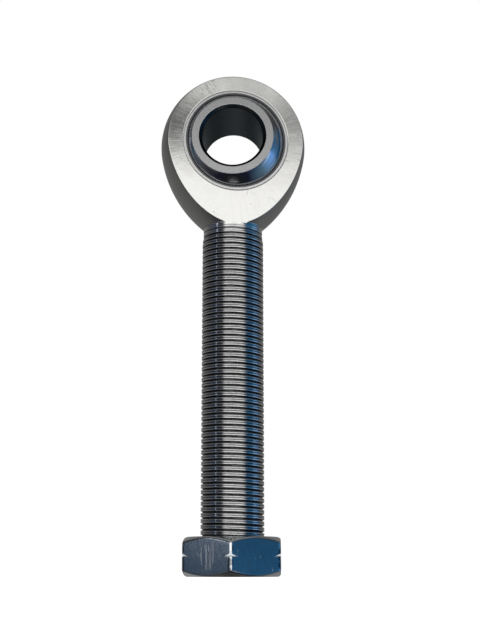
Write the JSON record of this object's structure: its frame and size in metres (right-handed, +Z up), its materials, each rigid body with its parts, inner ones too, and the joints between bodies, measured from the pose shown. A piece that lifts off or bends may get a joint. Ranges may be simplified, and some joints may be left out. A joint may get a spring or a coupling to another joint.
{
  "type": "rod end bearing",
  "caption": "Male rod end: a flat-sided eye holding a lined race and a bored chrome ball, on a long left-hand threaded shank with a hexagonal jam nut.",
  "frame": {"origin": "centre of the shank's end face, level with the jam nut's lower face, so that the part stands on that end", "axes": "+Z up along the shank towards the eye; the eye's flat faces point along -Y (front) and +Y (back); +X to the right seen from the front"},
  "size_m": [0.038, 0.0272, 0.1302],
  "materials": {
    "body_steel": "satin machined",
    "race_steel": "fine turned",
    "liner_polymer": "matte",
    "ball_chrome": "polished",
    "nut_steel": "plated, scuffed"
  },
  "bodies": {
    "eye_and_shank": {"rod_end_body": "body_steel", "race": "race_steel", "liner": "liner_polymer"},
    "ball": {"ball": "ball_chrome"},
    "jam_nut": {"jam_nut": "nut_steel"}
  },
  "joints": [
    {"name": "ball_swivel", "type": "hinge", "parent": "eye_and_shank", "child": "ball", "pos_m": [0, 0, 0.11113], "axis": [0, 0, 1], "range_deg": [-5, 19]},
    {"name": "jam_nut_travel", "type": "slide", "parent": "eye_and_shank", "child": "jam_nut", "axis": [0, 0, 1], "range_m": [0, 0.074]}
  ]
}
